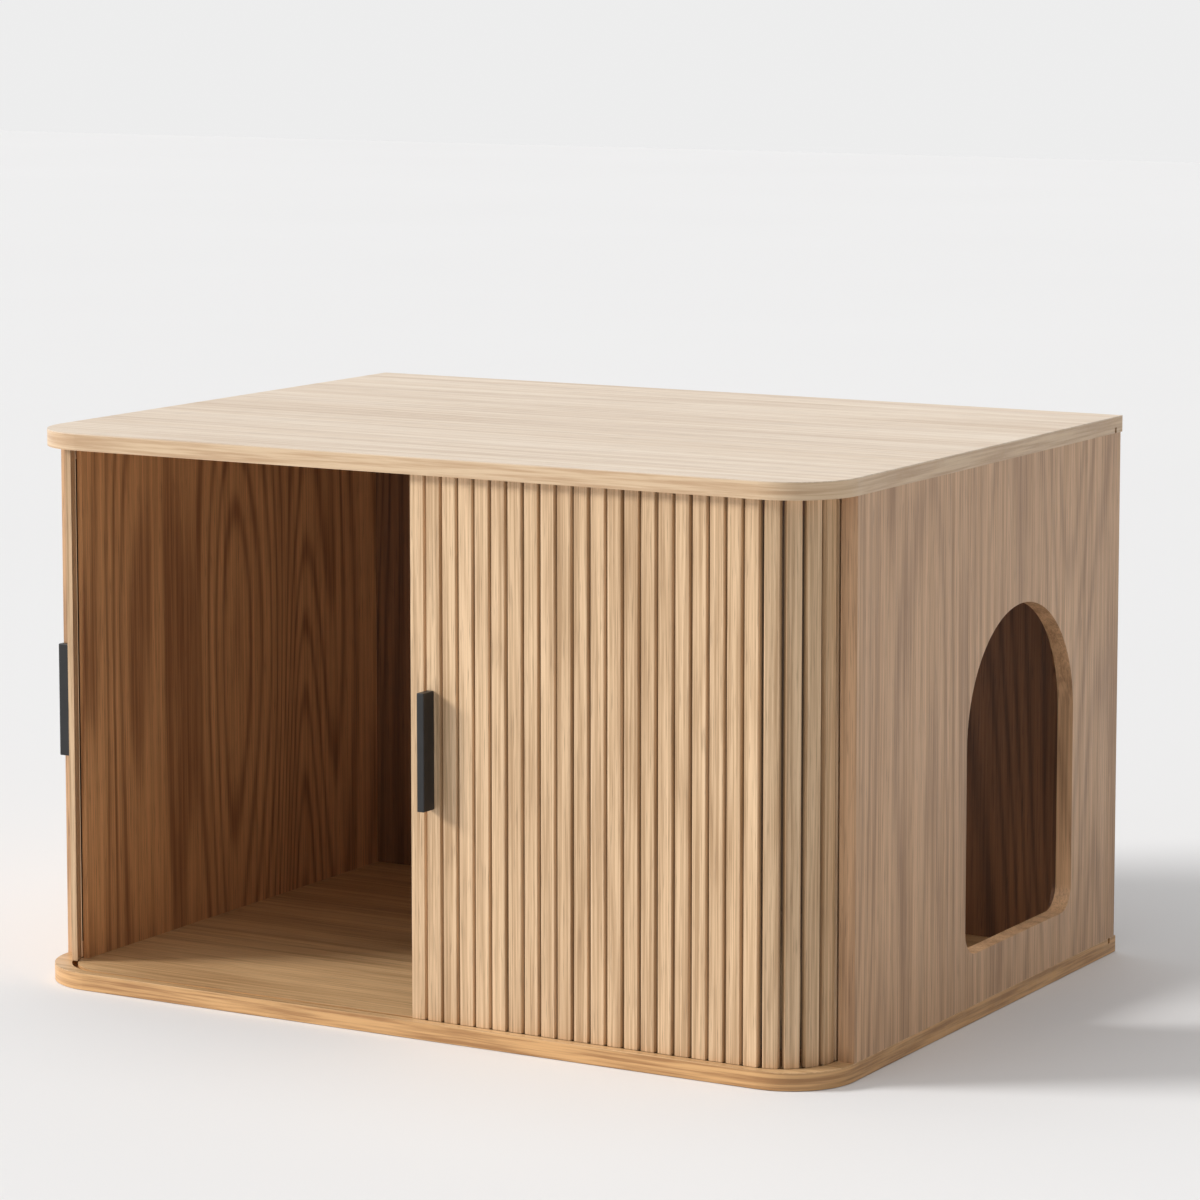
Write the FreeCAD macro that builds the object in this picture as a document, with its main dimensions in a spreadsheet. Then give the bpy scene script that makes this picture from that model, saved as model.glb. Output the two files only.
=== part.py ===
# Litter box cabinet: a low wooden cabinet with two roll-away slatted doors
# that bend round its front corners, and an arched entry in the right side.
# The left door is parked at its corner and the right door is shut.
# Lengths are in millimetres.  +X right, +Y to the back, +Z up.
import FreeCAD, Part
import math
import os
import re

doc = FreeCAD.newDocument("litter_cabinet")
sheet = doc.addObject("Spreadsheet::Sheet", "dims")

SIZES = [
    # the case
    ("width", 800, "case, over the side panels"),
    ("depth", 600, "top and bottom boards, front to back"),
    ("height", 500, "floor to the top face"),
    ("board", 15, "thickness of the case boards"),
    ("corner_r", 60, "front corners of the top and bottom boards"),
    ("side_front", 60, "front edge of the side panels"),
    ("side_back", 596, "back edge of the side panels"),
    # the arched entry
    ("arch_y", 384, "centre of the entry"),
    ("arch_r", 112, "half width of the entry and its round top"),
    ("arch_sill", 60, "bottom of the entry"),
    ("arch_spring", 243, "where the round top begins"),
    ("arch_fillet", 22, "bottom corners of the entry"),
    ("arch_margin", 26, "how far the liner is cut back round the entry"),
    # liners and back
    ("pocket", 10, "door pocket between side panel and liner"),
    ("liner", 5, "thickness of the liners"),
    ("liner_front", 50, "front edge of the side liners"),
    ("liner_back", 534, "front face of the rear liner"),
    ("liner_slot", 3, "depth of the liner slots in the boards"),
    ("back_y", 583, "front face of the back panel"),
    ("back_panel", 4, "thickness of the back panel"),
    ("back_slot", 5, "depth of the back panel's grooves"),
    ("fit", 0.2, "assembly clearance"),
    # the track
    ("track_in", 8.5, "board edge to the outer face of the slats"),
    ("track_gap", 2, "side panel to the outer face of the slats"),
    ("track_r", 51.5, "corner radius at the outer face of the slats"),
    ("track_cut", 6, "depth of the track groove"),
    ("track_end", 476, "rear end of the track groove"),
    # the slats
    ("pitch", 16, "slat spacing along the canvas"),
    ("slat_back", 15.6, "slat width at the back"),
    ("slat_face", 12.6, "slat width at the face"),
    ("slat", 5.5, "slat thickness"),
    ("canvas", 0.5, "canvas thickness"),
    ("canvas_trim", 15, "canvas edge to the board faces"),
    ("door_gap", 2, "middle of the case to a shut door's edge"),
    ("run", 0.4, "slat end to board"),
    ("tongue_w", 11, "tongue width"),
    ("tongue_t", 3.5, "tongue thickness"),
    ("tongue_top", 5, "reach of the upper tongue"),
    ("open_turn", 88, "how far round its corner the handle slat parks, degrees"),
    # handles and screws
    ("handle_wide", 7, "handle width"),
    ("handle_deep", 17, "handle reach from the slat"),
    ("handle_tall", 102, "handle height"),
    ("handle_z", 250, "handle centre height"),
    ("handle_off", 2.5, "handle centre to slat centre"),
    ("handle_round", 0.8, "handle edge rounding"),
    ("screw_r", 1.75, "handle screw radius"),
    ("screw_head", 3.4, "screw head radius"),
    ("screw_sink", 2, "screw head depth"),
    ("screw_in", 10, "screw length in the handle"),
    ("screw_step", 32, "screw to handle centre"),
    # hidden case fittings
    ("cam_r", 7.5, "cam lock radius"),
    ("cam_deep", 12, "cam lock depth"),
    ("cam_set", 24, "cam centre to the panel end"),
    ("bolt_r", 2.5, "cam bolt shank radius"),
    ("bolt_thread_r", 3, "cam bolt thread radius"),
    ("bolt_thread", 9, "cam bolt length in the board"),
    ("bolt_head_r", 3.5, "cam bolt head radius"),
    ("bolt_bore_r", 4, "bore for the bolt in panel and cam"),
    ("fix_front", 120, "front cam fitting"),
    ("fix_back", 550, "rear cam fitting"),
    ("dowel_r", 4, "dowel radius"),
    ("dowel_board", 10, "dowel length in the board"),
    ("dowel_panel", 20, "dowel length in the side panel"),
    ("dowel_front", 210, "front dowel"),
    ("dowel_back", 520, "rear dowel"),
]
for row, (alias, value, note) in enumerate(SIZES, 1):
    sheet.set(f"A{row}", note)
    sheet.set(f"B{row}", str(value))
    sheet.setAlias(f"B{row}", alias)
doc.recompute()
size = {alias: float(sheet.get(alias)) for alias, _, _ in SIZES}

SLATS = 27
WORDS = re.compile(r"\b(" + "|".join(sorted(size, key=len, reverse=True)) + r")\b")

# Values that follow from the sheet
CX = "(width/2 - board - track_gap - track_r)"  # corner centre
CY = "(track_in + track_r)"
MID = "(track_r - slat - canvas/2)"  # bending radius of the canvas
YMID = "((depth - handle_deep + track_in)/2)"  # middle of the overall depth
TOP = "(height - board)"  # underside of the top board
ROOM = "(height - 2*board)"


def cells(formula):
    return WORDS.sub(lambda m: "dims." + m.group(1), str(formula))


def number(formula):
    """The value of a formula, for choices such as which stretch a slat is on."""
    probe.setExpression("Length", cells(formula))
    probe.recompute()
    return probe.Length.Value


def bind(obj, **formulas):
    for prop, formula in formulas.items():
        obj.setExpression(prop, cells(formula))
    return obj


def put(obj, x, y, z, turn=None, axis=1):
    """Place an object: y is counted from the boards' front edge."""
    at = f"vector({x}; {y} - {YMID}; {z})"
    if turn is not None:
        at += f"; rotation(vector(0; 0; {axis}); {turn})"
        obj.setExpression("Placement", cells(f"placement({at})"))
    else:
        for part, formula in zip("xyz", (x, f"{y} - {YMID}", z)):
            obj.setExpression("Placement.Base." + part, cells(formula))
    return obj


def box(name, lo, lengths, local=False):
    obj = bind(
        doc.addObject("Part::Box", name),
        Length=lengths[0],
        Width=lengths[1],
        Height=lengths[2],
    )
    if local:
        for part, formula in zip("xyz", lo):
            obj.setExpression("Placement.Base." + part, cells(formula))
        return obj
    return put(obj, *lo)


AXES = {
    "x": FreeCAD.Rotation(FreeCAD.Vector(0, 1, 0), 90),
    "y": FreeCAD.Rotation(FreeCAD.Vector(1, 0, 0), -90),
    "z": FreeCAD.Rotation(),
}


def rod(name, at, r, length, axis="z", r2=None, local=False):
    """A cylinder, or a cone from r to r2, that starts at a point and runs along +axis."""
    obj = doc.addObject("Part::Cylinder" if r2 is None else "Part::Cone", name)
    if r2 is None:
        bind(obj, Radius=r, Height=length)
    else:
        bind(obj, Radius1=r, Radius2=r2, Height=length)
    obj.Placement = FreeCAD.Placement(FreeCAD.Vector(), AXES[axis])
    if local:
        for part, formula in zip("xyz", at):
            obj.setExpression("Placement.Base." + part, cells(formula))
        return obj
    return put(obj, *at)


def join(name, pieces):
    obj = doc.addObject("Part::MultiFuse", name)
    obj.Shapes = pieces
    obj.Refine = True
    return obj


def cut(name, base, tools):
    obj = doc.addObject("Part::Cut", name)
    obj.Base = base
    obj.Tool = tools[0] if len(tools) == 1 else join(name + "_tools", tools)
    obj.Refine = True
    return obj


def group(name, pieces):
    obj = doc.addObject("Part::Compound", name)
    obj.Links = pieces
    return obj


def quarter(name, s, r, z, height, sweep="90"):
    """A slice of a corner, s = +1 right or -1 left, measured back from the side."""
    obj = bind(doc.addObject("Part::Cylinder", name), Radius=r, Height=height, Angle=sweep)
    turn = f"({sweep})" if s > 0 else "180"
    return put(obj, f"{s}*{CX}", CY, z, turn, -1 if s > 0 else 1)


NODES = []


def node(obj, label):
    obj.Label = label
    NODES.append(obj)
    return obj


probe = doc.addObject("Part::Box", "probe")

# ---- tools shared by the top and bottom boards ----


def board_blank(name, z):
    r = "corner_r"
    return join(
        name,
        [
            box(name + "_rear", ("-width/2", r, z), ("width", f"depth - {r}", "board")),
            box(name + "_front", (f"{r} - width/2", "0", z), (f"width - 2*{r}", r, "board")),
            rod(name + "_corner_l", (f"{r} - width/2", r, z), r, "board"),
            rod(name + "_corner_r", (f"width/2 - {r}", r, z), r, "board"),
        ],
    )


def track(name, z):
    """The groove that guides the slats: along the front, round both corners, down both sides."""
    inner = "(track_r - slat)"
    runs = [
        box(name + "_front", (f"-{CX}", "track_in", z), (f"2*{CX}", "slat", "track_cut"))
    ]
    for s, side in ((-1, "left"), (1, "right")):
        x = f"{CX} + {inner}" if s > 0 else f"-({CX} + track_r)"
        runs.append(
            box(f"{name}_{side}", (x, CY, z), ("slat", f"track_end - {CY}", "track_cut"))
        )
        runs.append(
            cut(
                f"{name}_{side}_bend",
                quarter(f"{name}_{side}_out", s, "track_r", z, "track_cut"),
                [quarter(f"{name}_{side}_in", s, inner, z, "track_cut")],
            )
        )
    return runs


def fitting_places():
    for s, side in ((-1, "left"), (1, "right")):
        for place in ("front", "back"):
            yield side, s, place


def board(label, low):
    """low: True for the bottom board, which is cut from above."""
    z = "0" if low else TOP

    def sunk(depth):
        return f"board - {depth}" if low else TOP

    blank = board_blank(label + "_blank", z)
    tools = track(label + "_track", sunk("track_cut"))
    for s, side in ((-1, "left"), (1, "right")):
        x = "width/2 - board - pocket - liner" if s > 0 else "-(width/2 - board - pocket)"
        tools.append(
            box(
                f"{label}_slot_{side}",
                (x, "liner_front", sunk("liner_slot")),
                ("liner", "liner_back - liner_front", "liner_slot"),
            )
        )
    tools.append(
        box(
            label + "_slot_rear",
            ("-(width/2 - board - pocket)", "liner_back", sunk("liner_slot")),
            ("width - 2*board - 2*pocket", "liner", "liner_slot"),
        )
    )
    tools.append(
        box(
            label + "_slot_back",
            ("-width/2", "back_y", sunk("back_slot")),
            ("width", "back_panel", "back_slot"),
        )
    )
    for side, s, place in fitting_places():
        x = f"{s}*(width - board)/2"
        tools.append(
            rod(f"{label}_bolt_{side}_{place}", (x, "fix_" + place, sunk("bolt_thread")), "bolt_thread_r", "bolt_thread")
        )
        tools.append(
            rod(f"{label}_dowel_{side}_{place}", (x, "dowel_" + place, sunk("dowel_board")), "dowel_r", "dowel_board")
        )
    return node(cut(label + "_cut", blank, tools), label)


board("bottom_panel", True)
board("top_panel", False)

# ---- side panels and the arched entry ----


def arch(name, x, length, grow):
    """A tool along X: round top, straight sides, rounded bottom corners."""
    r = f"(arch_r + {grow})"
    f = f"(arch_fillet + {grow})"
    sill = f"(arch_sill - {grow})"
    return [
        rod(name + "_round", (x, "arch_y", "arch_spring"), r, length, "x"),
        box(name + "_middle", (x, f"arch_y - {r}", f"{sill} + {f}"), (length, f"2*{r}", f"arch_spring - {sill} - {f}")),
        box(name + "_low", (x, f"arch_y - {r} + {f}", sill), (length, f"2*{r} - 2*{f}", f)),
        rod(name + "_near", (x, f"arch_y - {r} + {f}", f"{sill} + {f}"), f, length, "x"),
        rod(name + "_far", (x, f"arch_y + {r} - {f}", f"{sill} + {f}"), f, length, "x"),
    ]


def side_panel(side, s):
    label = side + "_side_panel"
    x = "width/2 - board" if s > 0 else "-width/2"
    inner = "width/2 - board"
    blank = box(label + "_blank", (x, "side_front", "board"), ("board", "side_back - side_front", ROOM))
    groove_x = inner if s > 0 else f"-({inner}) - back_slot"
    tools = [
        box(label + "_groove", (groove_x, "back_y", "board"), ("back_slot", "back_panel", ROOM))
    ]
    mid = f"{s}*(width - board)/2"
    for place in ("front", "back"):
        for end, z0, zc, zd in (
            ("low", "board", "board + cam_set", "board"),
            ("high", f"{TOP} - cam_set", f"{TOP} - cam_set", f"{TOP} - dowel_panel"),
        ):
            at = f"{label}_{place}_{end}"
            tools.append(rod(at + "_bore", (mid, "fix_" + place, z0), "bolt_bore_r", "cam_set"))
            cam_x = inner if s > 0 else f"-({inner}) - cam_deep"
            tools.append(rod(at + "_cam", (cam_x, "fix_" + place, zc), "cam_r", "cam_deep", "x"))
            tools.append(rod(at + "_dowel", (mid, "dowel_" + place, zd), "dowel_r", "dowel_panel"))
    if s > 0:
        tools += arch(label + "_arch", x, "board", 0)
    return node(cut(label + "_cut", blank, tools), label)


side_panel("left", -1)
side_panel("right", 1)

# ---- liners and back panel ----


def liner(side, s):
    label = side + "_liner"
    x = "width/2 - board - pocket - liner" if s > 0 else "-(width/2 - board - pocket)"
    tall = f"{ROOM} + 2*liner_slot - fit"
    blank = box(label + "_blank", (x, "liner_front", "board - liner_slot"), ("liner", "liner_back - liner_front", tall))
    if s < 0:
        return node(blank, label)
    return node(cut(label + "_cut", blank, arch(label + "_arch", x, "liner", "arch_margin")), label)


liner("left", -1)
liner("right", 1)
node(
    box(
        "rear_liner_sheet",
        ("-(width/2 - board - pocket)", "liner_back", "board - liner_slot"),
        ("width - 2*board - 2*pocket", "liner", f"{ROOM} + 2*liner_slot - fit"),
    ),
    "rear_liner",
)
node(
    box(
        "back_sheet",
        ("fit - (width/2 - board + back_slot)", "back_y", "board - back_slot"),
        ("width - 2*board + 2*back_slot - 2*fit", "back_panel", f"{ROOM} + 2*back_slot - fit"),
    ),
    "back_panel",
)

# ---- hidden fittings between boards and side panels ----

bolts, cams, dowels = [], [], []
for side, s, place in fitting_places():
    mid = f"{s}*(width - board)/2"
    cam_x = "width/2 - board" if s > 0 else "-(width/2 - board) - cam_deep"
    y, yd = "fix_" + place, "dowel_" + place
    for end in ("low", "high"):
        at = f"{side}_{place}_{end}"
        low = end == "low"
        zc = "board + cam_set" if low else f"{TOP} - cam_set"
        head = "bolt_head_r - 0.5"
        reach = "(cam_set - fit)"
        bolts.append(
            join(
                "bolt_" + at,
                [
                    rod("thread_" + at, (mid, y, "board - bolt_thread" if low else TOP), "bolt_thread_r", "bolt_thread"),
                    rod("shank_" + at, (mid, y, "board" if low else f"{TOP} - {reach}"), "bolt_r", reach),
                    rod("head_" + at, (mid, y, f"board + {reach} - ({head})" if low else f"{TOP} - {reach}"), "bolt_head_r", head),
                ],
            )
        )
        cams.append(
            cut(
                "cam_" + at,
                rod("drum_" + at, (cam_x, y, zc), "cam_r", "cam_deep", "x"),
                [
                    rod("cross_" + at, (mid, y, f"{zc} - cam_r" if low else zc), "bolt_bore_r", "cam_r"),
                    box(
                        "slot_" + at,
                        (
                            "width/2 - board" if s > 0 else "-(width/2 - board) - 1.5",
                            f"{y} - cam_r/2",
                            f"{zc} - 0.6",
                        ),
                        ("1.5", "cam_r", "1.2"),
                    ),
                ],
            )
        )
        dowels.append(
            rod("dowel_" + at, (mid, yd, "board - dowel_board" if low else f"{TOP} - dowel_panel"), "dowel_r", "dowel_board + dowel_panel")
        )
node(group("bolt_set", bolts), "cam_bolts")
node(group("cam_set_of_eight", cams), "cam_locks")
node(group("dowel_set", dowels), "dowels")

# ---- slats, made at the origin: face on y = 0, back at y = slat ----


def slat_bar(name):
    half_face, half_back = "slat_face/2", "slat_back/2"
    z0, z1 = "board + run", f"{TOP} - run"
    return bind(
        doc.addObject("Part::Wedge", name),
        Xmin=f"-{half_face}", Xmax=half_face, X2min=f"-{half_back}", X2max=half_back,
        Ymin="0", Ymax="slat", Zmin=z0, Z2min=z0, Zmax=z1, Z2max=z1,
    )


tongue_y = "(slat - tongue_t)/2"
slat = join(
    "slat_with_tongues",
    [
        slat_bar("slat_bar"),
        box("tongue_low", ("-tongue_w/2", tongue_y, "board - track_cut"), ("tongue_w", "tongue_t", "track_cut + run"), True),
        box("tongue_high", ("-tongue_w/2", tongue_y, f"{TOP} - run"), ("tongue_w", "tongue_t", "tongue_top + run"), True),
    ],
)
edge_slat = slat_bar("edge_slat")


def on_track(obj, s, u):
    """Put an object made at the origin on the door's path, u along the canvas from the middle."""
    past = number(f"{u} - {CX}")
    bend = number(MID) * math.pi / 2
    if past <= 0:
        return put(obj, f"{s}*({u})", "track_in", "0")
    if past < bend:
        turn = f"(({u}) - {CX})/{MID}*180/pi"
        x = f"{s}*({CX} + track_r*sin({turn}*1deg))"
        return put(obj, x, f"{CY} - track_r*cos({turn}*1deg)", "0", turn, s)
    y = f"{CY} + ({u}) - {CX} - {MID}*pi/2"
    return put(obj, f"{s}*({CX} + track_r)", y, "0", "90", s)


def shut(i):
    return f"(door_gap + pitch*({i} - 0.5))"


def parked(i):
    return f"({CX} + {MID}*open_turn*pi/180 + pitch*({i} - 2))"


def copy_of(name, source, s, u):
    return on_track(group(name, [source]), s, u)


for i in range(1, SLATS - 1):
    if i != 2:
        source = edge_slat if i == 1 else slat
        node(copy_of(f"right_slat_{i}", source, 1, shut(i)), f"right_slat_{i:02d}")
node(
    group("right_tail", [copy_of(f"right_slat_{i}", slat, 1, shut(i)) for i in (SLATS - 1, SLATS)]),
    "right_tail_slats",
)
node(copy_of("left_slat_1", edge_slat, -1, parked(1)), "left_slat_01")
node(
    group("left_pack", [copy_of(f"left_slat_{i}", slat, -1, parked(i)) for i in range(3, SLATS + 1)]),
    "left_parked_slats",
)

# ---- handle slats, handles and their screws ----

for s, side, u in ((-1, "left", parked(2)), (1, "right", shut(2))):
    x = f"{-s}*handle_off"
    heights = ("handle_z - screw_step", "handle_z + screw_step")
    holes, screws = [], []
    for k, z in enumerate(heights):
        at = f"{side}_{k}"
        neck = "slat - screw_sink"
        holes += [
            rod("hole_" + at, (x, "0", z), "screw_r + fit/2", "slat", "y", local=True),
            rod("sink_" + at, (x, neck, z), "screw_r + fit/2", "screw_sink", "y", "screw_head + fit/2", local=True),
        ]
        recess = [
            box(f"cross_a_{at}", (f"{x} - 0.45", "slat - 1.1", f"{z} - 1.8"), ("0.9", "1.1", "3.6"), True),
            box(f"cross_b_{at}", (f"{x} - 1.8", "slat - 1.1", f"{z} - 0.45"), ("3.6", "1.1", "0.9"), True),
        ]
        screws.append(
            cut(
                "screw_" + at,
                join(
                    "screw_blank_" + at,
                    [
                        rod("screw_shank_" + at, (x, "-screw_in", z), "screw_r", f"screw_in + {neck}", "y", local=True),
                        rod("screw_head_" + at, (x, neck, z), "screw_r", "screw_sink", "y", "screw_head", local=True),
                    ],
                ),
                recess,
            )
        )
    body = cut(f"{side}_handle_slat", slat_bar(f"{side}_handle_slat_bar"), holes)
    node(copy_of(f"{side}_slat_2", body, s, u), f"{side}_slat_02")

    bar = box(
        f"{side}_handle_bar",
        (f"{x} - handle_wide/2", "-handle_deep", "handle_z - handle_tall/2"),
        ("handle_wide", "handle_deep", "handle_tall"),
        True,
    )
    rounded = doc.addObject("Part::Fillet", f"{side}_handle_rounded")
    rounded.Base = bar
    rounded.Edges = [(k, size["handle_round"], size["handle_round"]) for k in range(1, 13)]
    threads = [
        rod(f"thread_hole_{side}_{k}", (x, "-screw_in - 0.5", z), "screw_r", "screw_in + 0.5", "y", local=True)
        for k, z in enumerate(heights)
    ]
    handle = cut(f"{side}_handle_drilled", rounded, threads)
    node(copy_of(f"{side}_handle_copy", handle, s, u), f"{side}_handle")
    node(copy_of(f"{side}_screw_pair", group(f"{side}_screws", screws), s, u), f"{side}_handle_screws")

# ---- canvas behind the slats, with holes over the screw heads ----

canvas_z = "board + canvas_trim"
canvas_tall = f"{ROOM} - 2*canvas_trim"
outer, inner = "(track_r - slat)", "(track_r - slat - canvas)"
past_bend = f"{MID}*pi/2"


def canvas_bend(side, s, sweep):
    return cut(
        side + "_canvas_bend",
        quarter(side + "_canvas_out", s, outer, canvas_z, canvas_tall, sweep),
        [quarter(side + "_canvas_in", s, inner, canvas_z, canvas_tall, "90")],
    )


def canvas_side(side, s, end):
    x = f"{CX} + {inner}" if s > 0 else f"-({CX} + {outer})"
    return box(side + "_canvas_side", (x, CY, canvas_z), ("canvas", f"{end} - {CX} - {past_bend}", canvas_tall))


def screw_windows(side, s, u):
    windows = [
        rod(f"{side}_window_{k}", (f"{-s}*handle_off", "slat - 3", z), "screw_head + 1", "6", "y", local=True)
        for k, z in enumerate(("handle_z - screw_step", "handle_z + screw_step"))
    ]
    return copy_of(f"{side}_windows", group(f"{side}_window_pair", windows), s, u)


half = "slat_back/2"
right_strip = join(
    "right_canvas_strip",
    [
        box("right_canvas_front", (f"{shut(1)} - {half}", "track_in + slat", canvas_z), (f"{CX} - {shut(1)} + {half}", "canvas", canvas_tall)),
        canvas_bend("right", 1, "90"),
        canvas_side("right", 1, f"{shut(SLATS)} + {half}"),
    ],
)
node(cut("right_canvas_cut", right_strip, [screw_windows("right", 1, shut(2))]), "right_canvas")
left_sweep = f"90 - ({parked(1)} - {half} - {CX})/{MID}*180/pi"
left_strip = join(
    "left_canvas_strip",
    [
        canvas_bend("left", -1, left_sweep),
        canvas_side("left", -1, f"{parked(SLATS)} + {half}"),
    ],
)
node(cut("left_canvas_cut", left_strip, [screw_windows("left", -1, parked(2))]), "left_canvas")

# ---- check and write ----

doc.removeObject("probe")
doc.recompute()
failed = [o.Name for o in doc.Objects if {"Invalid", "Error"} & set(o.State)]
if failed:
    raise SystemExit("failed objects: " + ", ".join(failed))
for obj in NODES:
    if obj.Shape.isNull() or not obj.Shape.isValid() or not obj.Shape.Solids:
        raise SystemExit(obj.Label + " has no valid shape")
os.makedirs("parts", exist_ok=True)
for obj in NODES:
    obj.Shape.exportStep(os.path.join("parts", obj.Label + ".step"))
    b = obj.Shape.BoundBox
    print(
        f"{obj.Label:22s} {len(obj.Shape.Solids):3d} {obj.Shape.Volume / 1000:10.2f} cm3  "
        f"x {b.XMin:.2f} {b.XMax:.2f}  y {b.YMin:.2f} {b.YMax:.2f}  z {b.ZMin:.2f} {b.ZMax:.2f}"
    )
print(len(NODES), "nodes")
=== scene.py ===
# %% [markdown]
# # A litter box cabinet with two tambour doors
#
# The cabinet is a low box of veneered boards. Two doors made of upright wooden
# slats run in curved tracks along the front, round the front corners and back
# into pockets in the sides. One side has a round-topped way in for a cat.
#
# The boards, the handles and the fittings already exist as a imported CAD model.
# This lesson gives them wood, metal and canvas finishes, builds the slats that
# bend round the corners, and sets up a small photo studio.

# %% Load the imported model
import math

import bpy
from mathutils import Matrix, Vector


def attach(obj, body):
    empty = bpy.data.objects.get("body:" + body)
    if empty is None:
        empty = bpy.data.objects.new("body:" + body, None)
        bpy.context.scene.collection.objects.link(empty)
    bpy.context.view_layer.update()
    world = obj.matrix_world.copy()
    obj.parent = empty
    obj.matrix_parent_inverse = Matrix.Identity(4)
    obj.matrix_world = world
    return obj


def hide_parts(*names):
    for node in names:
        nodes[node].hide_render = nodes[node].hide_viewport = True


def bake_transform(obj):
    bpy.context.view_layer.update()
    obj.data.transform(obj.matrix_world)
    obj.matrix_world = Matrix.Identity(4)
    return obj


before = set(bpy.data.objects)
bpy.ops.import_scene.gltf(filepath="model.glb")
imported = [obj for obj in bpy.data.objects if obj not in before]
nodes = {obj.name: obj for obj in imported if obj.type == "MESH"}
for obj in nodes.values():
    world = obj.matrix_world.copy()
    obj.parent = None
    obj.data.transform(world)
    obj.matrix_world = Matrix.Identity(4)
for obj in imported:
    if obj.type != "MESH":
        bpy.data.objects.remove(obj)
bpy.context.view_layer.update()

# %% [markdown]
# ## Camera
#
# A product photograph like this one is taken with a long lens from several
# metres away, a little above the cabinet and about thirty degrees round to its
# right. A long lens keeps upright edges almost parallel. The numbers come from
# fitting the cabinet's straight edges to the picture. A small vertical shift
# keeps the cabinet where the picture has it, without tilting the camera more.

# %% Camera
sensor_mm, lens_mm, shift_up = 36, 130.991, -0.125
stands_at = (1.96486, -3.37591, 0.92978)
looks_down, looks_round = 6.6353, 29.8999  # degrees

camera = bpy.data.cameras.new("camera")
camera.sensor_width = sensor_mm
camera.lens = lens_mm
camera.shift_y = shift_up
camera.clip_start, camera.clip_end = 0.1, 60
camera_at = bpy.data.objects.new("camera", camera)
camera_at.location = stands_at
camera_at.rotation_euler = (math.radians(90 - looks_down), 0, math.radians(looks_round))
bpy.context.scene.collection.objects.link(camera_at)
bpy.context.scene.camera = camera_at
print("camera at", stands_at, "with a lens of", lens_mm, "mm")

# %% [markdown]
# ## Building materials from nodes
#
# Every finish here is a small graph of nodes. These helpers add a node, set
# its sockets and join it to others in one line, so each finish reads like a
# recipe.

# %% Helpers for nodes
def new_finish(name):
    """An empty material with a surface shader, and its node tree."""
    finish = bpy.data.materials.new(name)
    finish.use_nodes = True
    tree = finish.node_tree
    return finish, tree, tree.nodes["Principled BSDF"]


def add(tree, kind, sockets=(), **settings):
    """A node of this kind. Sockets take a number, a colour or another socket."""
    made = tree.nodes.new(kind)
    for key, value in settings.items():
        setattr(made, key, value)
    for key, value in dict(sockets).items():
        if isinstance(value, bpy.types.NodeSocket):
            tree.links.new(value, made.inputs[key])
        else:
            made.inputs[key].default_value = value
    return made


def maths(tree, what, a, b=0.0, c=0.0):
    """One sum. MULTIPLY_ADD is a * b + c."""
    return add(tree, "ShaderNodeMath", {0: a, 1: b, 2: c}, operation=what).outputs[0]


print("node helpers ready")

# %% [markdown]
# The patterns all start as soft random noise. `ramp` spreads a narrow band of
# that grey over the whole range from black to white, which turns soft blots
# into clear marks. `mix` then blends two colours by it.

# %% Helpers for patterns
def ramp(tree, value, start, end):
    """0 up to start and 1 from end, with soft ends. start may be the larger of the two."""
    sockets = {"Value": value, "From Min": start, "From Max": end}
    return add(tree, "ShaderNodeMapRange", sockets, interpolation_type="SMOOTHSTEP").outputs[0]


def mix(tree, share, a, b):
    """Colour a where share is 0 and colour b where it is 1."""
    made = add(tree, "ShaderNodeMix", data_type="RGBA", blend_type="MIX")
    for socket, value in ((made.inputs[0], share), (made.inputs[6], a), (made.inputs[7], b)):
        if isinstance(value, bpy.types.NodeSocket):
            tree.links.new(value, socket)
        else:
            socket.default_value = (*value, 1)
    return made.outputs[2]


def noise(tree, place, scale, detail=2.0, rough=0.5, bend=0.0):
    """Soft random grey, scale waves to the metre."""
    sockets = {"Vector": place, "Scale": scale, "Detail": detail}
    sockets.update({"Roughness": rough, "Distortion": bend})
    return add(tree, "ShaderNodeTexNoise", sockets).outputs[0]


def spot_on(tree, attribute=None):
    """The point being shaded, in the object's own space or as an attribute gives it."""
    if attribute:
        return add(tree, "ShaderNodeAttribute", attribute_name=attribute).outputs["Vector"]
    return add(tree, "ShaderNodeTexCoord").outputs["Object"]


def raised(tree, shader, height, strength, depth):
    """Fine relief that only the light sees. depth is in metres."""
    sockets = {"Height": height, "Strength": strength, "Distance": depth}
    bump = add(tree, "ShaderNodeBump", sockets)
    tree.links.new(bump.outputs[0], shader.inputs["Normal"])


def times(colour, by):
    """A colour times one number, or times three."""
    by = by if hasattr(by, "__len__") else (by, by, by)
    return [v * w for v, w in zip(colour, by)]


print("pattern helpers ready")

# %% [markdown]
# ## Veneer
#
# A plain-sawn board is a slice through a tree's yearly rings. Near the middle
# of the board the rings come out as tall pointed arches, called cathedrals,
# and near its edges as straight lines. Three layers make that here:
#
# - contour lines of a smooth noise field, pulled out along the grain, give the
#   arches and long ovals;
# - finer, longer noise gives the streaks, threads and patches between them;
# - very thin, short dark dashes are the open pores.
#
# `along` says which way the grain runs. Squeezing the coordinates in that
# direction is what pulls every pattern out into long fibres. The pattern is
# solid, so it runs on over the edges of a board as real wood does.

# %% Wood grain
arch_squeeze, fibre_squeeze, pore_squeeze = 0.10, 0.012, 0.03  # 1 would be round
ring_turn = 6.2832  # radians of the sine wave from one ring to the next
ring_wobble, ring_sharpness = 3.0, 2.4
thread_share, patch_share, extra_share = 0.34, 0.22, 0.38


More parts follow.
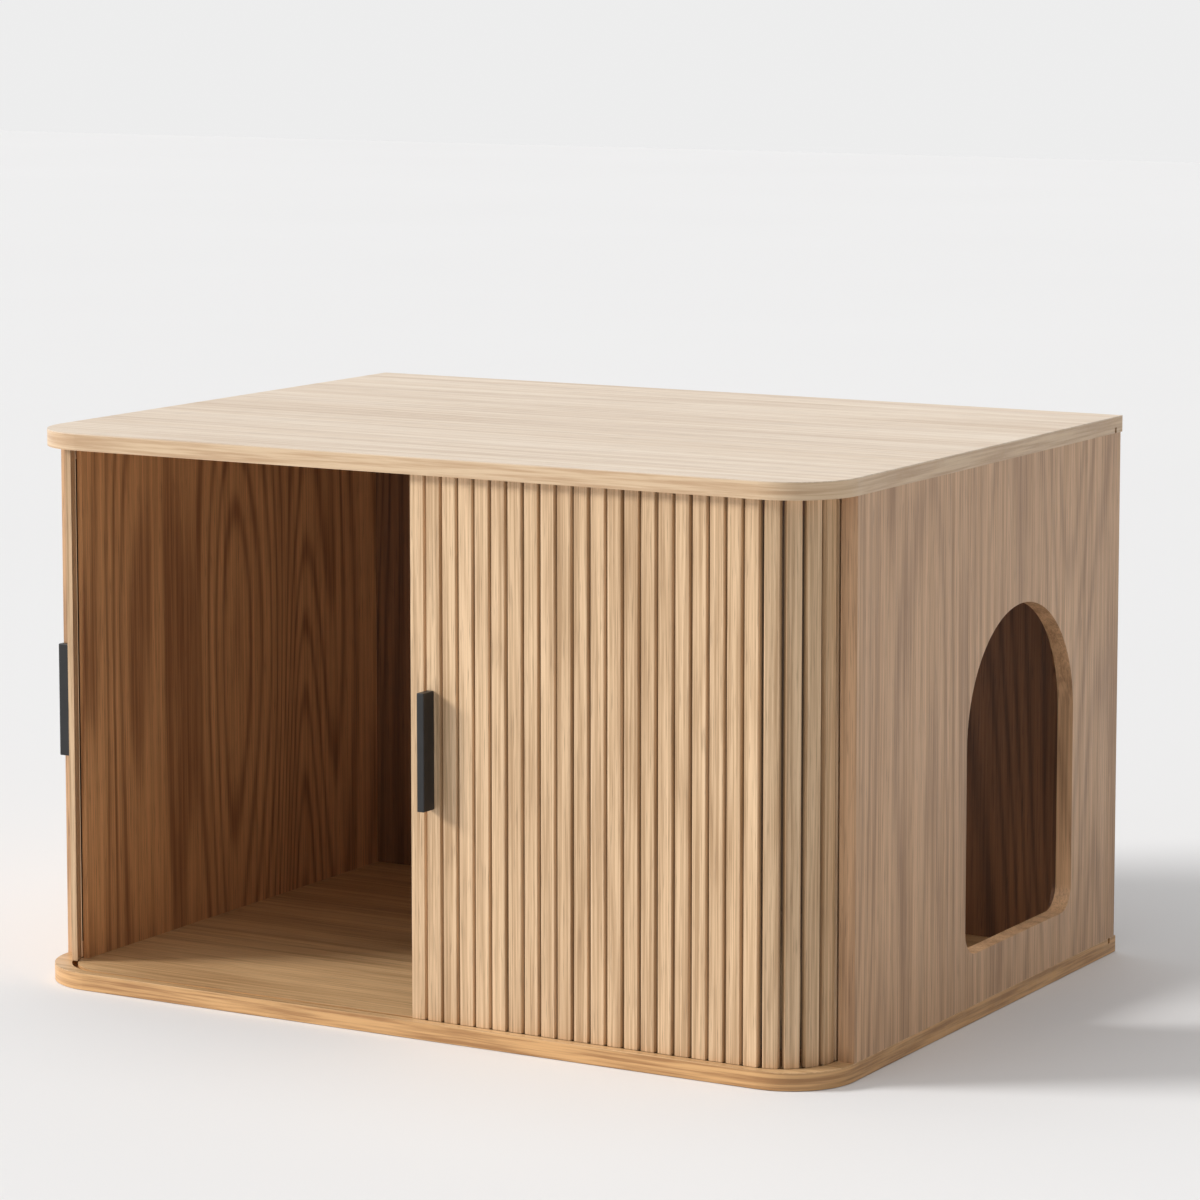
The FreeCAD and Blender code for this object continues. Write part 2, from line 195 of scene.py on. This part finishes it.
def stretched(tree, spot, along, share, seed):
    """Coordinates squeezed along the grain, so that a pattern there comes out long."""
    squeeze = [share if axis == along else 1.0 for axis in "xyz"]
    sockets = {"Vector": spot, "Scale": squeeze, "Location": (seed, seed * 0.7, seed * 1.3)}
    return add(tree, "ShaderNodeMapping", sockets).outputs[0]


def rings_of_wood(tree, wide, rings, figure):
    """The arches: dark lines where a smooth field passes whole numbers."""
    field = noise(tree, wide, figure, 0.6, 0.4, 0.15)
    wobble = maths(tree, "MULTIPLY", noise(tree, wide, 45.0), ring_wobble)
    wave = maths(tree, "SINE", maths(tree, "MULTIPLY_ADD", field, rings * ring_turn, wobble))
    return maths(tree, "POWER", maths(tree, "MULTIPLY_ADD", wave, 0.5, 0.5), ring_sharpness)


def fibres(tree, long):
    """Streaks of about 8 mm, threads of 2 mm and patches of 40 mm across the grain."""
    streak = ramp(tree, noise(tree, long, 130.0, 4.0, 0.72), 0.36, 0.66)
    thread = ramp(tree, noise(tree, long, 520.0, 2.0, 0.6), 0.36, 0.64)
    patch = ramp(tree, noise(tree, long, 24.0), 0.34, 0.68)
    return streak, thread, patch


print("shares of threads and patches", thread_share, patch_share)

# %% [markdown]
# Two small extras are switched on where they are wanted. `band_below` gives a
# board its edge band, a strip of veneer glued round the edge with its grain
# along the strip. The other one is painted shade: it darkens the sloping flanks
# of the slats towards the canvas, in the grooves between the slats.

# %% Edge band and painted groove shade
band_light, band_dark = (0.85, 0.75, 0.62), (0.88, 0.77, 0.64)
band_fade = 0.0006
# Painted shade in the grooves between slats runs between these depths.
groove_shade_from, groove_shade_to = 0.0008, 0.0052  # metres behind a slat's face


def edge_band(tree, spot, colour, light, dark, band_below):
    """The colour, but with the edge band's own wood below this height."""
    squeezed = {"Vector": spot, "Scale": (0.03, 0.03, 1.0)}
    round_edge = add(tree, "ShaderNodeMapping", squeezed).outputs[0]
    strip = ramp(tree, noise(tree, round_edge, 320.0, 3.0, 0.6), 0.35, 0.68)
    strip = mix(tree, strip, times(light, band_light), times(dark, band_dark))
    height = add(tree, "ShaderNodeSeparateXYZ", {0: spot}).outputs["Z"]
    return mix(tree, ramp(tree, height, band_below, band_below - band_fade), colour, strip)


def groove_shade(tree, spot, colour, dark, groove_shade_share):
    """The colour, with painted shade from the face of a slat towards its back, in the grooves."""
    deep = add(tree, "ShaderNodeSeparateXYZ", {0: spot}).outputs["Y"]
    deep = maths(tree, "MULTIPLY", ramp(tree, deep, groove_shade_from, groove_shade_to), groove_shade_share)
    return mix(tree, deep, colour, times(dark, 0.22))


print("edge band fades over", band_fade * 1000, "mm")

# %% [markdown]
# The veneer recipe adds the layers up to one tone between two colours. Streaks
# also make the surface a little rougher, and the pores are pressed into it.

# %% Veneer recipe
def veneer(
    name, light, dark, along, rings=22.0, figure=6.0, arch=0.5, streaks=0.5,
    gloss=0.42, shine=0.5, place=None, seed=0.0, groove_shade_share=0.0, band_below=None,
):
    """Oak-like wood. figure sets the size of the arches and rings their number."""
    finish, tree, shader = new_finish(name)
    spot = spot_on(tree, place)
    wide = stretched(tree, spot, along, arch_squeeze, seed)
    long = stretched(tree, spot, along, fibre_squeeze, seed)
    short = stretched(tree, spot, along, pore_squeeze, seed)
    arches = rings_of_wood(tree, wide, rings, figure)
    streak, thread, patch = fibres(tree, long)
    pores = ramp(tree, noise(tree, short, 900.0), 0.56, 0.70)

    tone = maths(tree, "MULTIPLY", arches, arch)
    tone = maths(tree, "MULTIPLY_ADD", streak, streaks, tone)
    tone = maths(tree, "MULTIPLY_ADD", thread, thread_share, tone)
    tone = maths(tree, "MULTIPLY_ADD", patch, patch_share, tone)
    tone = maths(tree, "MULTIPLY", tone, 1.0 / (arch + streaks + extra_share))
    colour = mix(tree, maths(tree, "MINIMUM", tone, 1.0), light, dark)
    colour = mix(tree, maths(tree, "MULTIPLY", pores, 0.45), colour, times(dark, 0.55))
    if band_below:
        colour = edge_band(tree, spot, colour, light, dark, band_below)
    # Painted shade in the grooves between the slats.
    if groove_shade_share:
        colour = groove_shade(tree, spot, colour, dark, groove_shade_share)
    tree.links.new(colour, shader.inputs["Base Color"])

    rough = maths(tree, "MULTIPLY_ADD", streak, 0.12, gloss - 0.06)
    tree.links.new(rough, shader.inputs["Roughness"])
    height = maths(tree, "SUBTRACT", maths(tree, "MULTIPLY", thread, 0.5), pores)
    raised(tree, shader, height, 0.2, 0.0004)
    shader.inputs["Specular IOR Level"].default_value = shine
    return finish


print("veneer recipe ready")

# %% [markdown]
# ### The woods of this cabinet
#
# All of it is one kind of veneer, but the base is warmer, the outside greyer
# and the inside much darker. The top is painted paler, as painted light and
# sheen from above. Inside, the left liner is painted lighter and the rear and
# right liners darker, as painted light and shade. Both boards carry an edge
# band: the heights below are just under the top face of each board.

# %% Woods
top_band, base_band = 0.4995, 0.0147
slat_light, slat_dark = (0.86, 0.605, 0.370), (0.47, 0.29, 0.150)
slat_grain = {"along": "z", "rings": 8, "figure": 16.0, "arch": 0.16, "seed": 1.7}
inner_grain = {"along": "z", "rings": 24, "figure": 8.0, "arch": 0.9, "streaks": 0.4}

# The top's paleness is painted light and sheen from above.
wood_top = veneer(
    "wood_top", (0.84, 0.695, 0.535), (0.60, 0.44, 0.30), "x", rings=11, figure=5.0,
    arch=0.4, shine=0.6, gloss=0.38, seed=3.1, band_below=top_band,
)
wood_base = veneer(
    "wood_base", (0.82, 0.54, 0.28), (0.44, 0.25, 0.11), "x", rings=14, figure=5.0,
    arch=0.4, seed=8.4, band_below=base_band,
)
wood_side = veneer(
    "wood_side", (0.75, 0.465, 0.260), (0.37, 0.205, 0.105), "z", rings=18, figure=7.0,
    arch=0.45, seed=5.6,
)
wood_slat = veneer("wood_slat", slat_light, slat_dark, **slat_grain)
# The left liner's wood, painted lighter as painted light inside the box.
wood_liner = veneer(
    "wood_liner", (0.90, 0.48, 0.215), (0.33, 0.138, 0.055), seed=2.3, **inner_grain
)
# The same wood painted darker for the rear and right liners: painted shade inside the box.
wood_liner_painted_shade = veneer(
    "wood_liner_painted_shade", (0.30, 0.140, 0.062), (0.10, 0.040, 0.017), seed=6.2, **inner_grain
)
wood_back = veneer(
    "wood_back", (0.42, 0.26, 0.15), (0.22, 0.12, 0.06), "z", rings=18, figure=7.0, seed=9.9
)
dowel_wood = veneer(
    "dowel_wood", (0.72, 0.55, 0.36), (0.55, 0.38, 0.22), "z", rings=6, figure=60.0, seed=4.2
)
woods = (wood_top, wood_base, wood_side, wood_slat, wood_liner, wood_liner_painted_shade, wood_back, dowel_wood)
print(len(woods), "woods:", [wood.name for wood in woods])

# %% [markdown]
# ## Metal
#
# The handles are black powder-coated bars: a dark, slightly rough skin with a
# very fine orange-peel texture. The screws and cam bolts are zinc-plated
# steel, and the cam locks are cast zinc, which is duller and a little grainy.

# %% Handle and metal finishes
def plain_metal(name, colour, metallic, rough, grain, depth):
    """Metal or powder coat with this many grains to the metre, and faint stains."""
    finish, tree, shader = new_finish(name)
    spot = spot_on(tree)
    peel = noise(tree, spot, grain, 3.0, 0.55)
    stain = ramp(tree, noise(tree, spot, grain * 0.03), 0.35, 0.7)
    tree.links.new(mix(tree, stain, colour, times(colour, 0.72)), shader.inputs["Base Color"])
    uneven = maths(tree, "MULTIPLY_ADD", peel, 0.16, rough - 0.08)
    tree.links.new(uneven, shader.inputs["Roughness"])
    raised(tree, shader, peel, 0.25, depth)
    shader.inputs["Metallic"].default_value = metallic
    return finish


black, bright, dull = (0.011, 0.011, 0.012), (0.58, 0.58, 0.60), (0.46, 0.46, 0.48)
handle_black = plain_metal("handle_black", black, 0.0, rough=0.42, grain=2600.0, depth=0.00015)
steel = plain_metal("steel", bright, 1.0, rough=0.30, grain=1500.0, depth=0.0001)
zinc = plain_metal("zinc", dull, 1.0, rough=0.45, grain=900.0, depth=0.0002)
print("metals", handle_black.name, steel.name, zinc.name)

# %% [markdown]
# ## Canvas
#
# The slats are glued to cotton canvas, which is two sets of threads crossing
# each other, made here by multiplying two sets of thin stripes.

# %% Canvas finish
threads_per_metre = 1400.0


def stripes(tree, place):
    """Threads side by side, bright in the middle of each."""
    wave = maths(tree, "MULTIPLY", place, threads_per_metre * math.pi)
    return maths(tree, "ABSOLUTE", maths(tree, "SINE", wave))


def woven(name, colour, dark, place=None):
    """Plain-weave cloth that hangs upright."""
    finish, tree, shader = new_finish(name)
    spot = spot_on(tree, place)
    parts = add(tree, "ShaderNodeSeparateXYZ", {0: spot}).outputs
    across = maths(tree, "ADD", parts["X"], parts["Y"])
    weave = maths(tree, "MULTIPLY", stripes(tree, across), stripes(tree, parts["Z"]))
    fuzz = noise(tree, spot, 900.0, 2.0, 0.6)
    shade = maths(tree, "MULTIPLY_ADD", weave, 0.7, maths(tree, "MULTIPLY", fuzz, 0.3))
    tree.links.new(mix(tree, shade, dark, colour), shader.inputs["Base Color"])
    tree.links.new(maths(tree, "MULTIPLY_ADD", fuzz, 0.15, 0.82), shader.inputs["Roughness"])
    raised(tree, shader, weave, 0.5, 0.0003)
    return finish


cloth_light, cloth_dark = (0.24, 0.18, 0.12), (0.10, 0.07, 0.045)
print("threads of", round(1000 / threads_per_metre, 2), "mm")

# %% [markdown]
# ## Finishes on the boards and fittings
#
# A CAD node keeps its shape, and only its material changes. The first two
# slats of each door, the handles and their screws are such nodes too: they
# move as stiff bodies, so they need no new mesh.

# %% Dress the CAD parts
wearing = {
    "top_panel": wood_top,
    "bottom_panel": wood_base,
    "left_side_panel": wood_side,
    "right_side_panel": wood_side,
    # The left liner wears the painted-light copy; the right and rear liners wear the
    # painted-shade copy.
    "left_liner": wood_liner,
    "right_liner": wood_liner_painted_shade,
    "rear_liner": wood_liner_painted_shade,
    "back_panel": wood_back,
    "dowels": dowel_wood,
    "cam_bolts": steel,
    "cam_locks": zinc,
    "left_handle_screws": steel,
    "right_handle_screws": steel,
    "left_handle": handle_black,
    "right_handle": handle_black,
    "left_slat_01": wood_slat,
    "left_slat_02": wood_slat,
    "right_slat_01": wood_slat,
    "right_slat_02": wood_slat,
}
for name, finish in wearing.items():
    worn = nodes[name].data
    worn.materials.clear()
    worn.materials.append(finish)
print(len(wearing), "CAD nodes dressed")

# %% [markdown]
# ## The tambour slats
#
# Each slat is a wooden bar with sloping sides, wider where it is glued to the
# canvas than on its face. Without the slope the bars would jam in the corner.
# A short tongue at each end runs in the track.
#
# All slats follow one rule, so Geometry Nodes make them. The path of a door is
# a straight run, a quarter circle and another straight run. A slat's distance
# `s` along the path gives the angle it has turned,
# `turn = clamp((s - corner) / radius, 0, 90 degrees)`, and whatever distance is
# left over is straight. One tree makes any slat of either door at any place.

# %% Sizes of the doors, in metres
pitch, first_gap = 0.016, 0.002
back_wide, face_wide, thick, rounding = 0.0156, 0.0126, 0.0055, 0.0005
slat_low, slat_high = 0.0154, 0.4846
tongue_wide, tongue_thick, tongue_root = 0.011, 0.0035, 0.001
tongue_low, tongue_high = 0.009, 0.490
corner_x, corner_y, outer_radius = 0.3315, -0.23575, 0.0515
cloth_thick, cloth_low, cloth_high = 0.0005, 0.030, 0.470
bend_radius = outer_radius - thick - cloth_thick / 2
door_travel, open_turn = 0.3055, math.radians(88)
open_at = corner_x + bend_radius * open_turn


def shut_at(number):
    """How far along the path slat `number` is when its door is shut."""
    return first_gap + pitch * (number - 0.5)


print("bending radius", round(bend_radius, 5), "slat 25 at", round(shut_at(25), 4))

# %% [markdown]
# ### One slat
#
# The section is drawn as a trapezoid curve with its corners rounded by half a
# millimetre, then swept up a line. The rounding catches the light along every
# slat. Tongues and canvas strip are added to the same little shape. `shrink`
# makes all of it a hair smaller, for slats that have to hide in another.

# %% Bars of one slat
def bar(tree, shrink, widths, depth, middle, heights, wood, round_by=0.0):
    """An upright bar. widths are at its back and its face, middle is half way between."""
    section = add(tree, "GeometryNodeCurvePrimitiveQuadrilateral", mode="TRAPEZOID")
    back, face = widths
    for key, value in (("Bottom Width", face), ("Top Width", back), ("Height", depth)):
        tree.links.new(maths(tree, "SUBTRACT", value, shrink), section.inputs[key])
    section.inputs["Offset"].default_value = 0
    outline = section.outputs[0]
    if round_by:
        corners = {"Curve": outline, "Radius": round_by, "Count": 2}
        outline = add(tree, "GeometryNodeFilletCurve", corners, mode="POLY").outputs[0]
    low, high = heights
    ends = {"Start": (0, 0, low), "End": (0, 0, high)}
    line = add(tree, "GeometryNodeCurvePrimitiveLine", ends).outputs[0]
    swept = {"Curve": line, "Profile Curve": outline, "Fill Caps": True}
    made = add(tree, "GeometryNodeCurveToMesh", swept).outputs[0]
    moved = {"Geometry": made, "Translation": (0, middle, 0)}
    made = add(tree, "GeometryNodeTransform", moved).outputs[0]
    flat = {"Geometry": made, "Shade Smooth": False}
    made = add(tree, "GeometryNodeSetShadeSmooth", flat).outputs[0]
    return add(tree, "GeometryNodeSetMaterial", {"Geometry": made, "Material": wood}).outputs[0]


def one_slat(tree, shrink, wood, cloth):
    """The bar, its two tongues and its strip of canvas, with its face at y = 0."""
    tongue = ((tongue_wide, tongue_wide), tongue_thick, thick / 2)
    low_ends = (tongue_low, slat_low + tongue_root)
    high_ends = (slat_high - tongue_root, tongue_high)
    behind = thick + cloth_thick / 2
    cloth_ends = (cloth_low, cloth_high)
    ends = (slat_low, slat_high)

    body = bar(tree, shrink, (back_wide, face_wide), thick, thick / 2, ends, wood, rounding)
    low_end = bar(tree, shrink, *tongue, low_ends, wood)
    high_end = bar(tree, shrink, *tongue, high_ends, wood)
    strip = bar(tree, shrink, (pitch, pitch), cloth_thick, behind, cloth_ends, cloth)
    join = tree.nodes.new("GeometryNodeJoinGeometry")
    for part in (strip, high_end, low_end, body):
        tree.links.new(part, join.inputs[0])
    return join.outputs[0]


print("a slat is", back_wide * 1000, "mm wide at the back and", face_wide * 1000, "in front")

# %% [markdown]
# ### Its place on the path
#
# This is the rule above, written with maths nodes. `Slid` is how far the door
# has moved along its path, and `Side` is 1 for the right door and -1 for the
# left one, which is its mirror image.

# %% Place and facing of a slat
def on_path(tree, given):
    """The number, the place and the turn of every slat in the row."""
    radius, side = given["Corner radius"], given["Side"]
    index = tree.nodes.new("GeometryNodeInputIndex").outputs[0]
    number = maths(tree, "ADD", index, given["First slat"])
    along = maths(tree, "SUBTRACT", number, 0.5)
    along = maths(tree, "MULTIPLY_ADD", along, given["Pitch"], first_gap)
    along = maths(tree, "ADD", along, given["Slid"])
    past = maths(tree, "SUBTRACT", along, corner_x)
    turn = maths(tree, "MAXIMUM", maths(tree, "DIVIDE", past, bend_radius), 0.0)
    turn = maths(tree, "MINIMUM", turn, math.pi / 2)
    rest = maths(tree, "SUBTRACT", past, maths(tree, "MULTIPLY", turn, bend_radius))
    sine, cosine = maths(tree, "SINE", turn), maths(tree, "COSINE", turn)

    x = maths(tree, "MULTIPLY", sine, radius)
    x = maths(tree, "ADD", x, maths(tree, "MULTIPLY", rest, cosine))
    x = maths(tree, "MULTIPLY", maths(tree, "ADD", x, corner_x), side)
    y = maths(tree, "MULTIPLY", rest, sine)
    y = maths(tree, "SUBTRACT", y, maths(tree, "MULTIPLY", cosine, radius))
    y = maths(tree, "ADD", y, corner_y)
    place = add(tree, "ShaderNodeCombineXYZ", {"X": x, "Y": y}).outputs[0]
    turned = {"Z": maths(tree, "MULTIPLY", turn, side)}
    return number, place, add(tree, "ShaderNodeCombineXYZ", turned).outputs[0]


print("corner at", corner_x, corner_y, "with radius", outer_radius)

# %% [markdown]
# ### The whole tree
#
# The slat is copied to a row of points, and each copy is turned and put in
# place. Before copying, each point of the slat remembers where it is on the
# slat, in an attribute called `grain_at`. After copying, the slat's number is
# added to it. The wood reads that attribute, so every slat shows its own grain,
# and the grain stays with the slat when the door moves.

# %% Build the slat tree
grain_step_x, grain_step_z = 0.37, 1.73  # how far apart in the wood two slats are cut


def store(tree, geometry, name, value, kind, domain):
    """The geometry with a named attribute on it."""
    sockets = {"Geometry": geometry, "Name": name, "Value": value}
    stored = add(tree, "GeometryNodeStoreNamedAttribute", sockets, data_type=kind, domain=domain)
    return stored.outputs[0]


def read(tree, name, kind):
    """The value of a named attribute."""
    found = add(tree, "GeometryNodeInputNamedAttribute", {"Name": name}, data_type=kind)
    return found.outputs[0]


def slat_tree(wood, cloth):
    """The node group, and the identifier of each of its inputs."""
    tree = bpy.data.node_groups.new("tambour_slats", "GeometryNodeTree")
    wanted = [
        ("First slat", "NodeSocketFloat", 1.0),
        ("Slats", "NodeSocketInt", 1),
        ("Slid", "NodeSocketFloat", 0.0),
        ("Side", "NodeSocketFloat", 1.0),
        ("Shrink", "NodeSocketFloat", 0.0),
        ("Corner radius", "NodeSocketFloat", outer_radius),
        ("Pitch", "NodeSocketFloat", pitch),
    ]
    ids = {}
    for name, kind, value in wanted:
        socket = tree.interface.new_socket(name, in_out="INPUT", socket_type=kind)
        socket.default_value = value
        ids[name] = socket.identifier
    tree.interface.new_socket("Geometry", in_out="OUTPUT", socket_type="NodeSocketGeometry")
    given = tree.nodes.new("NodeGroupInput").outputs
    result = tree.nodes.new("NodeGroupOutput").inputs["Geometry"]

    slat = one_slat(tree, given["Shrink"], wood, cloth)
    own_place = tree.nodes.new("GeometryNodeInputPosition").outputs[0]
    slat = store(tree, slat, "grain_at", own_place, "FLOAT_VECTOR", "POINT")
    number, place, facing = on_path(tree, given)
    points = add(tree, "GeometryNodePoints", {"Count": given["Slats"]}).outputs[0]
    row = add(tree, "GeometryNodeSetPosition", {"Geometry": points, "Position": place}).outputs[0]
    turned = {"Points": row, "Instance": slat, "Rotation": facing}
    copies = add(tree, "GeometryNodeInstanceOnPoints", turned).outputs[0]
    copies = store(tree, copies, "slat_number", number, "FLOAT", "INSTANCE")
    real = add(tree, "GeometryNodeRealizeInstances", {"Geometry": copies}).outputs[0]

    which = read(tree, "slat_number", "FLOAT")
    step_x = maths(tree, "MULTIPLY", which, grain_step_x)
    step_z = maths(tree, "MULTIPLY", which, grain_step_z)
    apart = add(tree, "ShaderNodeCombineXYZ", {"X": step_x, "Z": step_z}).outputs[0]
    both = {0: read(tree, "grain_at", "FLOAT_VECTOR"), 1: apart}
    grain = add(tree, "ShaderNodeVectorMath", both, operation="ADD").outputs[0]
    tree.links.new(store(tree, real, "grain_at", grain, "FLOAT_VECTOR", "POINT"), result)
    return tree, ids


# The slats of the tree carry painted shade in the grooves between them.
slat_own = veneer(
    "wood_slat_own", slat_light, slat_dark, place="grain_at", groove_shade_share=0.5, **slat_grain
)
canvas_own = woven("canvas_own", cloth_light, cloth_dark, place="grain_at")
tambour, inputs = slat_tree(slat_own, canvas_own)
print("tree", tambour.name, "with inputs", sorted(inputs))

# %% [markdown]
# ### From the tree to a plain mesh
#
# The pieces have to ride on the CAD bodies one by one, so the tree's result is
# copied into a mesh of its own and the object that grew it is thrown away.

# %% Plain slats
def make_slats(name, first, count=1, slid=0.0, side=1.0, shrink=0.0):
    """Slats first, first + 1 ... as one plain mesh object."""
    holder = bpy.data.objects.new(name + "_tree", bpy.data.meshes.new("empty"))
    bpy.context.scene.collection.objects.link(holder)
    growing = holder.modifiers.new("slats", "NODES")
    growing.node_group = tambour
    wanted = {"First slat": float(first), "Slats": count}
    wanted.update({"Slid": slid, "Side": side, "Shrink": shrink})
    for key, value in wanted.items():
        growing[inputs[key]] = value
    graph = bpy.context.evaluated_depsgraph_get()
    mesh = bpy.data.meshes.new_from_object(holder.evaluated_get(graph))
    mesh.name = name
    made = bpy.data.objects.new(name, mesh)
    bpy.context.scene.collection.objects.link(made)
    bpy.data.objects.remove(holder)
    return made


print("slats are made by", make_slats.__name__)

# %% [markdown]
# ## Which slats ride with the door
#
# The frame's joints turn a whole door round one corner. A real slat slides
# until it reaches the corner, bends round it, and slides on. Here each slat's
# share of the door's slide is worked out: near one by the handle and small by
# the corner. A slat whose share is whole rides on the body it is given, and
# every other slat stays where it is.

# %% One even share for a stiff slat
whole = 0.9999


def undo_ease(share):
    """The place between start and end where the eased share has this value."""
    return 0.5 - math.sin(math.asin(1 - 2 * share) / 3)


def ride_share(piece, second_body, share):
    """The piece rides on second_body if its share is whole, and otherwise stays where it is."""
    if share > whole:
        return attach(piece, second_body)
    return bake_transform(piece)


def bend_share(at):
    """The share of the corner's turn that a slat at this place on the bend still takes."""
    return (open_turn - (at - corner_x) / bend_radius) / open_turn


print("share 0.3 undone:", round(undo_ease(0.3), 4))

# %% [markdown]
# ## The right door
#
# It is shut at rest. Slats 3 to 21 lie flat, 22 to 25 bend round the corner,
# and two more wait in the pocket. When the door opens, slats 3 to 5 follow the
# handle into the pocket, to within two millimetres of where the real ones stop:
# the joint turns 88 degrees and the pocket is at 90. The other slats are a hair
# smaller and stay where they are, which a real door can't do.

# %% Right door slats
first_made, last_flat, last_bent = 3, 21, 25
pocket_places, tail_slats = 3, 2
inside_another = 0.0002  # smaller by this, metres

for number in range(first_made, last_bent + 1):
    stands_alone = number < first_made + pocket_places
    shrink = 0.0 if stands_alone else inside_another
    slat = make_slats(f"right_slat_{number:02d}_bar", number, shrink=shrink)
    at = shut_at(number)
    if number <= last_flat:
        parked = pitch * (1 + (number - first_made) % pocket_places)
        ride_share(slat, "right_lead", (corner_x - at + parked) / door_travel)
    else:
        ride_share(slat, "right_curtain", bend_share(at))
    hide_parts(f"right_slat_{number:02d}")
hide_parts("right_canvas")

# %% [markdown]
# The two slats at the very end of the door never leave the pocket in this
# model, so they are one piece that stays with the cabinet.

# %% Tail of the right door
tail = make_slats("right_tail_bars", last_bent + 1, tail_slats)
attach(tail, "cabinet")
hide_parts("right_tail_slats")
print("tail of", tail_slats, "slats,", len(tail.data.polygons), "faces")

# %% [markdown]
# ## The left door
#
# It is open at rest, so only two slats and the handle show at the corner. The
# slats that close it wait inside the second slat, a hair smaller than it, and
# stay there when the door shuts. The stack parked in the pocket stays there.

# %% Left door slats
parked_slats, handle_slat = 25, 2
inside_handle_slat = 0.0004  # smaller by this, metres

left_slats = []
for number in range(first_made, last_bent + 1):
    at = shut_at(number)
    slid = open_at - at
    shrink = inside_handle_slat
    slat = make_slats(f"left_slat_{number:02d}_bar", number, slid=slid, side=-1.0, shrink=shrink)
    if number <= last_flat:
        ride_share(slat, "left_lead", (corner_x - at) / door_travel)
    else:
        ride_share(slat, "left_curtain", bend_share(at))
    left_slats.append(slat)

slid = open_at - shut_at(handle_slat)
parked = make_slats("left_parked_bars", first_made, parked_slats, slid=slid, side=-1.0)
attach(parked, "cabinet")
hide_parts("left_parked_slats", "left_canvas")
print("left door:", len(left_slats), "slats and", parked_slats, "parked")

# %% [markdown]
# ## Studio floor
#
# The floor is a large pale sheet, half a millimetre below the cabinet so that
# the two faces don't fight. The even, pale backdrop of the picture is made by
# the floor's own colour and by the world as the camera and the reflections see
# it, not by more light on the wood.

# %% Floor
reach, drop = 14.0, 0.0005


def floor_finish():
    """Dull, nearly white paper with very faint clouds."""
    finish, tree, shader = new_finish("studio_floor")
    cloudy = noise(tree, spot_on(tree), 0.6)
    pale = mix(tree, cloudy, (0.825, 0.822, 0.824), (0.850, 0.847, 0.850))
    tree.links.new(pale, shader.inputs["Base Color"])
    shader.inputs["Roughness"].default_value = 0.75
    shader.inputs["Specular IOR Level"].default_value = 0.2
    return finish


corners = [(-reach, -reach, 0), (reach, -reach, 0), (reach, reach, 0), (-reach, reach, 0)]
floor_mesh = bpy.data.meshes.new("floor")
floor_mesh.from_pydata(corners, [], [(0, 1, 2, 3)])
floor = bpy.data.objects.new("floor", floor_mesh)
floor.location.z = -drop
floor_mesh.materials.append(floor_finish())
bpy.context.scene.collection.objects.link(floor)
print("floor", reach * 2, "m square")

# %% [markdown]
# ## Lamps
#
# A strong, fairly soft lamp shines from the left, above and in front, and a
# weaker, very soft one from overhead. They stay weak enough that pale wood
# doesn't burn out. Both are suns, because a sun is equally bright everywhere
# and the floor stays even as far as the camera sees it.

# %% Lamps
def far_lamp(name, heading, strength, softness, tint=(1, 1, 1)):
    """A sun. heading is the way its light travels, softness its width in degrees."""
    light = bpy.data.lights.new(name, "SUN")
    light.energy, light.angle, light.color = strength, math.radians(softness), tint
    made = bpy.data.objects.new(name, light)
    made.rotation_euler = Vector(heading).to_track_quat("-Z", "Y").to_euler()
    bpy.context.scene.collection.objects.link(made)
    return made


slightly_warm = (1.0, 0.995, 0.985)
key = far_lamp("key", (0.78, 0.45, -0.42), strength=3.0, softness=16, tint=slightly_warm)
overhead = far_lamp("overhead", (0.12, 0.10, -1.0), strength=1.0, softness=70)
print("lamps", key.name, overhead.name)

# %% [markdown]
# ## World
#
# The world gives a little light from all round. The camera, the reflections and
# anything seen through glass see it brighter than it shines, as bright as the
# far end of the floor, so that hardly any horizon shows.

# %% World
fill_light, backdrop = 0.30, 0.85

world = bpy.data.worlds.new("studio")
bpy.context.scene.world = world
world.use_nodes = True
sky = world.node_tree
background = sky.nodes["Background"]
background.inputs["Color"].default_value = (1.0, 1.0, 1.0, 1)
ray = sky.nodes.new("ShaderNodeLightPath").outputs
seen = maths(sky, "MAXIMUM", ray["Is Camera Ray"], ray["Is Glossy Ray"])
seen = maths(sky, "MAXIMUM", seen, ray["Is Transmission Ray"])
strength = maths(sky, "MULTIPLY_ADD", seen, backdrop - fill_light, fill_light)
sky.links.new(strength, background.inputs["Strength"])
bpy.context.scene.view_settings.view_transform = "Standard"
print("world lights with", fill_light, "and shows", backdrop)
